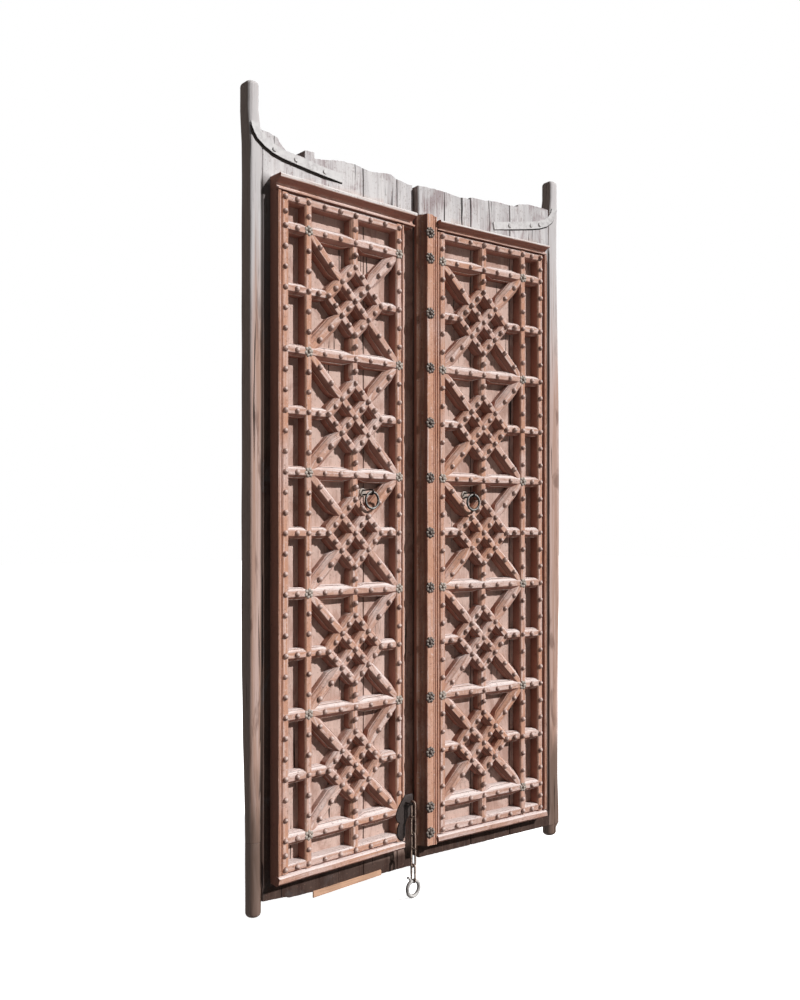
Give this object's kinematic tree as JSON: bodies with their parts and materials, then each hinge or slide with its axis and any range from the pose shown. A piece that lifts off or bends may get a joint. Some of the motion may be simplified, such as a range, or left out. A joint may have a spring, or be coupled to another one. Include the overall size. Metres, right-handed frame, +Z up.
{
  "type": "carved double door",
  "caption": "Pair of pivot-hung plank door leaves with a studded star lattice, carved face frames, fluted cover strip, ring pulls and a hanging door chain.",
  "frame": {"origin": "on the right (standing) leaf's pivot axis, where the rounded end of its lower pivot starts", "axes": "+X along the doorway to the right as seen from outside, +Y into the building, +Z up along the pivots"},
  "size_m": [1.293, 0.1756, 2.4892],
  "materials": {
    "grey_planks": "weathered grey paint over old planks",
    "bare_wood": "old unpainted wood",
    "carved_wood": "worn terracotta paint on carved wood",
    "painted_studs": "iron domes with worn paint",
    "zinc_flowers": "dull grey pressed metal",
    "painted_iron": "iron strap under old grey paint",
    "dark_iron": "dark forged iron, worn bright on the rims"
  },
  "bodies": {
    "standing_leaf": {"standing_pivot_post": "grey_planks", "standing_plank_outer": "grey_planks", "standing_plank_middle": "grey_planks", "standing_plank_inner": "grey_planks", "standing_ledges": "bare_wood", "standing_strap": "painted_iron", "standing_top_rail": "carved_wood", "standing_bottom_rail": "carved_wood", "standing_outer_moulding": "carved_wood", "standing_inner_moulding": "carved_wood", "standing_uprights": "carved_wood", "standing_borders": "carved_wood", "standing_crossbars": "carved_wood", "standing_short_bars": "carved_wood", "standing_star_1": "carved_wood", "standing_star_2": "carved_wood", "standing_star_3": "carved_wood", "standing_star_4": "carved_wood", "standing_star_5": "carved_wood", "standing_studs": "painted_studs", "standing_rosettes": "zinc_flowers", "standing_ring_staple": "dark_iron", "cover_strip": "carved_wood", "cover_bosses": "dark_iron"},
    "active_leaf": {"active_pivot_post": "grey_planks", "active_pivot_foot": "grey_planks", "active_plank_outer": "grey_planks", "active_plank_middle": "grey_planks", "active_plank_inner": "grey_planks", "active_ledges": "bare_wood", "active_strap": "painted_iron", "active_top_rail": "carved_wood", "active_bottom_rail": "carved_wood", "active_outer_moulding": "carved_wood", "active_inner_moulding": "carved_wood", "active_uprights": "carved_wood", "active_borders": "carved_wood", "active_crossbars": "carved_wood", "active_short_bars": "carved_wood", "active_star_1": "carved_wood", "active_star_2": "carved_wood", "active_star_3": "carved_wood", "active_star_4": "carved_wood", "active_star_5": "carved_wood", "active_studs": "painted_studs", "active_rosettes": "zinc_flowers", "active_ring_staple": "dark_iron", "chain_plate": "dark_iron", "chain_staple": "dark_iron"},
    "active_ring": {"active_ring_pull": "dark_iron"},
    "standing_ring": {"standing_ring_pull": "dark_iron"},
    "end_ring": {"chain_end_ring": "dark_iron"},
    "link_1": {"chain_link_1": "dark_iron"},
    "link_2": {"chain_link_2": "dark_iron"},
    "link_3": {"chain_link_3": "dark_iron"},
    "link_4": {"chain_link_4": "dark_iron"},
    "link_5": {"chain_link_5": "dark_iron"}
  },
  "joints": [
    {"name": "active_leaf_swing", "type": "hinge", "parent": "standing_leaf", "child": "active_leaf", "pos_m": [-1.244, 0, 0], "axis": [0, 0, 1], "range_deg": [-2.2, 90]},
    {"name": "active_ring_swing", "type": "hinge", "parent": "active_leaf", "child": "active_ring", "pos_m": [-0.8377, -0.04386, 1.235], "axis": [-0.9973, -0.0732, 0], "range_deg": [0, 115]},
    {"name": "standing_ring_swing", "type": "hinge", "parent": "standing_leaf", "child": "standing_ring", "pos_m": [-0.42631, -0.05866, 1.235], "axis": [-0.9994, 0.0349, 0], "range_deg": [0, 115]},
    {"name": "chain_link_1_swing", "type": "hinge", "parent": "active_leaf", "child": "link_1", "pos_m": [-0.67676, -0.04733, 0.231], "axis": [-0.9973, -0.0732, 0], "range_deg": [0, 40]},
    {"name": "chain_link_2_swing", "type": "hinge", "parent": "link_1", "child": "link_2", "pos_m": [-0.67676, -0.04733, 0.18], "axis": [-0.0732, 0.9973, 0], "range_deg": [-5, 40]},
    {"name": "chain_link_3_swing", "type": "hinge", "parent": "link_2", "child": "link_3", "pos_m": [-0.67676, -0.04733, 0.129], "axis": [-0.9973, -0.0732, 0], "range_deg": [0, 40]},
    {"name": "chain_link_4_swing", "type": "hinge", "parent": "link_3", "child": "link_4", "pos_m": [-0.67676, -0.04733, 0.078], "axis": [-0.0732, 0.9973, 0], "range_deg": [-5, 40]},
    {"name": "chain_link_5_swing", "type": "hinge", "parent": "link_4", "child": "link_5", "pos_m": [-0.67676, -0.04733, 0.027], "axis": [-0.9973, -0.0732, 0], "range_deg": [0, 40]},
    {"name": "chain_end_ring_swing", "type": "hinge", "parent": "link_5", "child": "end_ring", "pos_m": [-0.67676, -0.04733, -0.024], "axis": [-0.0732, 0.9973, 0], "range_deg": [-5, 40]}
  ]
}
